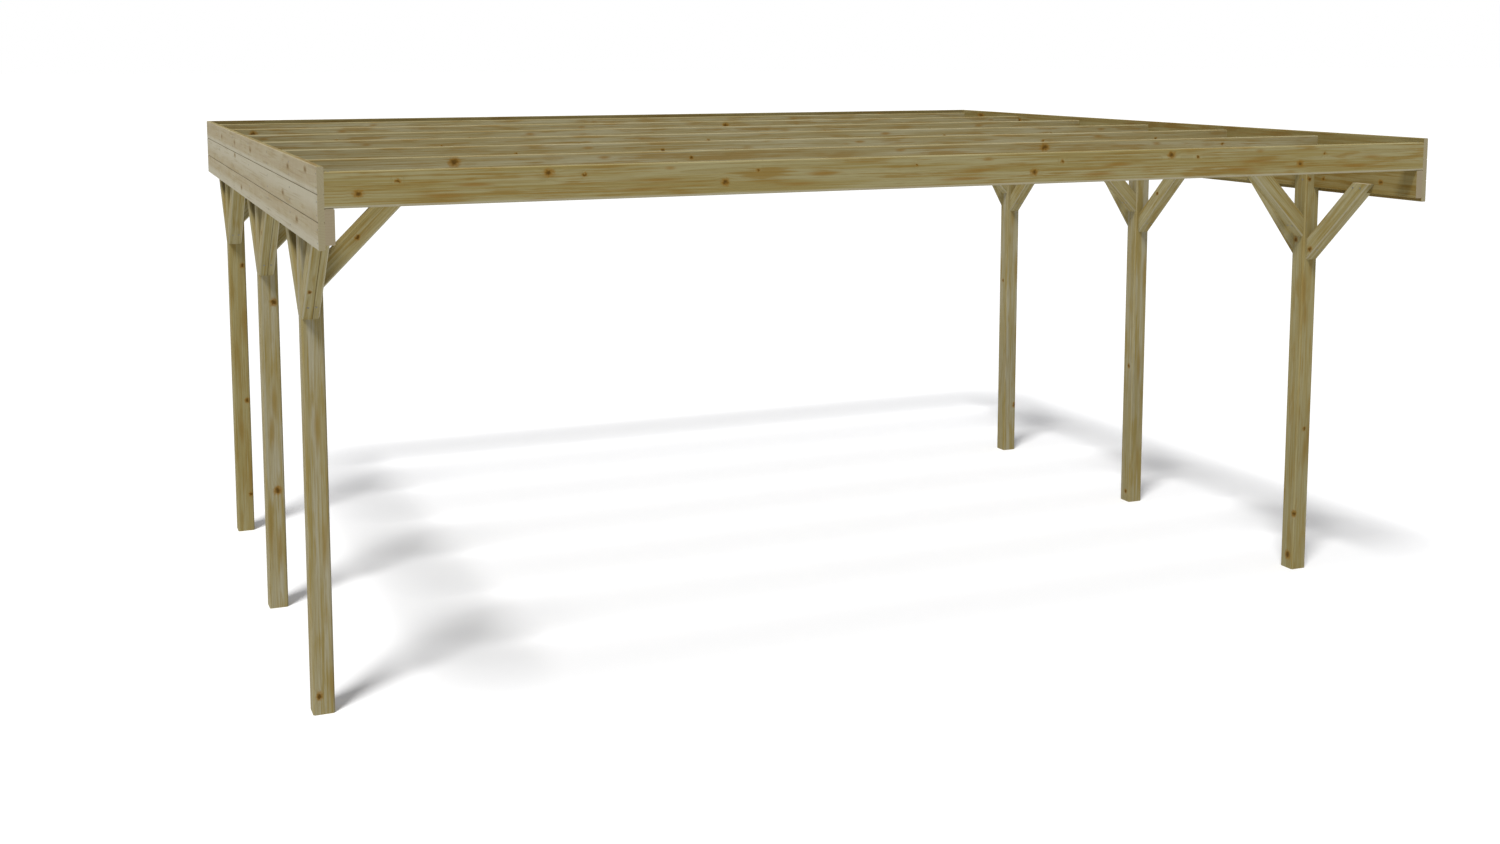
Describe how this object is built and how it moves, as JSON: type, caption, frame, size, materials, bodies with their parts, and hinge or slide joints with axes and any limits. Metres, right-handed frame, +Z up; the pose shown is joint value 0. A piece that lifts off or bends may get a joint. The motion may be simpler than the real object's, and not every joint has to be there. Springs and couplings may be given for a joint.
{
  "type": "timber double carport",
  "caption": "Open timber double carport: posts with notched heads carry side purlins, cross rafters and boarded fascias, with lapped and forked knee braces at every post head.",
  "frame": {"origin": "on the ground, in the middle of the plan of the whole carport", "axes": "+Z up, +X to the right along the open front edge, +Y from the front edge to the back fascia"},
  "size_m": [5.85, 4.95, 2.6],
  "materials": {
    "post_timber": "planed pressure-treated softwood",
    "beam_timber": "planed pressure-treated softwood",
    "fascia_timber": "fine-sawn pressure-treated softwood",
    "brace_timber": "planed pressure-treated softwood",
    "fixing_steel": "dull zinc-plated steel"
  },
  "bodies": {
    "root": {"post_front_left": "post_timber", "post_front_right": "post_timber", "post_middle_left": "post_timber", "post_middle_right": "post_timber", "post_back_left": "post_timber", "post_back_right": "post_timber", "purlin_left": "beam_timber", "purlin_right": "beam_timber", "rafter_1": "beam_timber", "rafter_2": "beam_timber", "rafter_3": "beam_timber", "rafter_4": "beam_timber", "rafter_5": "beam_timber", "rafter_6": "beam_timber", "rafter_7": "beam_timber", "fascia_left_bottom": "fascia_timber", "fascia_left_middle": "fascia_timber", "fascia_left_top": "fascia_timber", "fascia_right_bottom": "fascia_timber", "fascia_right_middle": "fascia_timber", "fascia_right_top": "fascia_timber", "fascia_back_bottom": "fascia_timber", "fascia_back_middle": "fascia_timber", "fascia_back_top": "fascia_timber", "brace_front_left_forward": "brace_timber", "brace_front_left_rearward": "brace_timber", "brace_front_left_inward": "brace_timber", "brace_front_right_forward": "brace_timber", "brace_front_right_rearward": "brace_timber", "brace_front_right_inward": "brace_timber", "brace_middle_left_forward": "brace_timber", "brace_middle_left_rearward": "brace_timber", "brace_middle_left_inward": "brace_timber", "brace_middle_right_forward": "brace_timber", "brace_middle_right_rearward": "brace_timber", "brace_middle_right_inward": "brace_timber", "brace_back_left_forward": "brace_timber", "brace_back_left_rearward": "brace_timber", "brace_back_left_inward": "brace_timber", "brace_back_right_forward": "brace_timber", "brace_back_right_rearward": "brace_timber", "brace_back_right_inward": "brace_timber"}
  },
  "joints": []
}
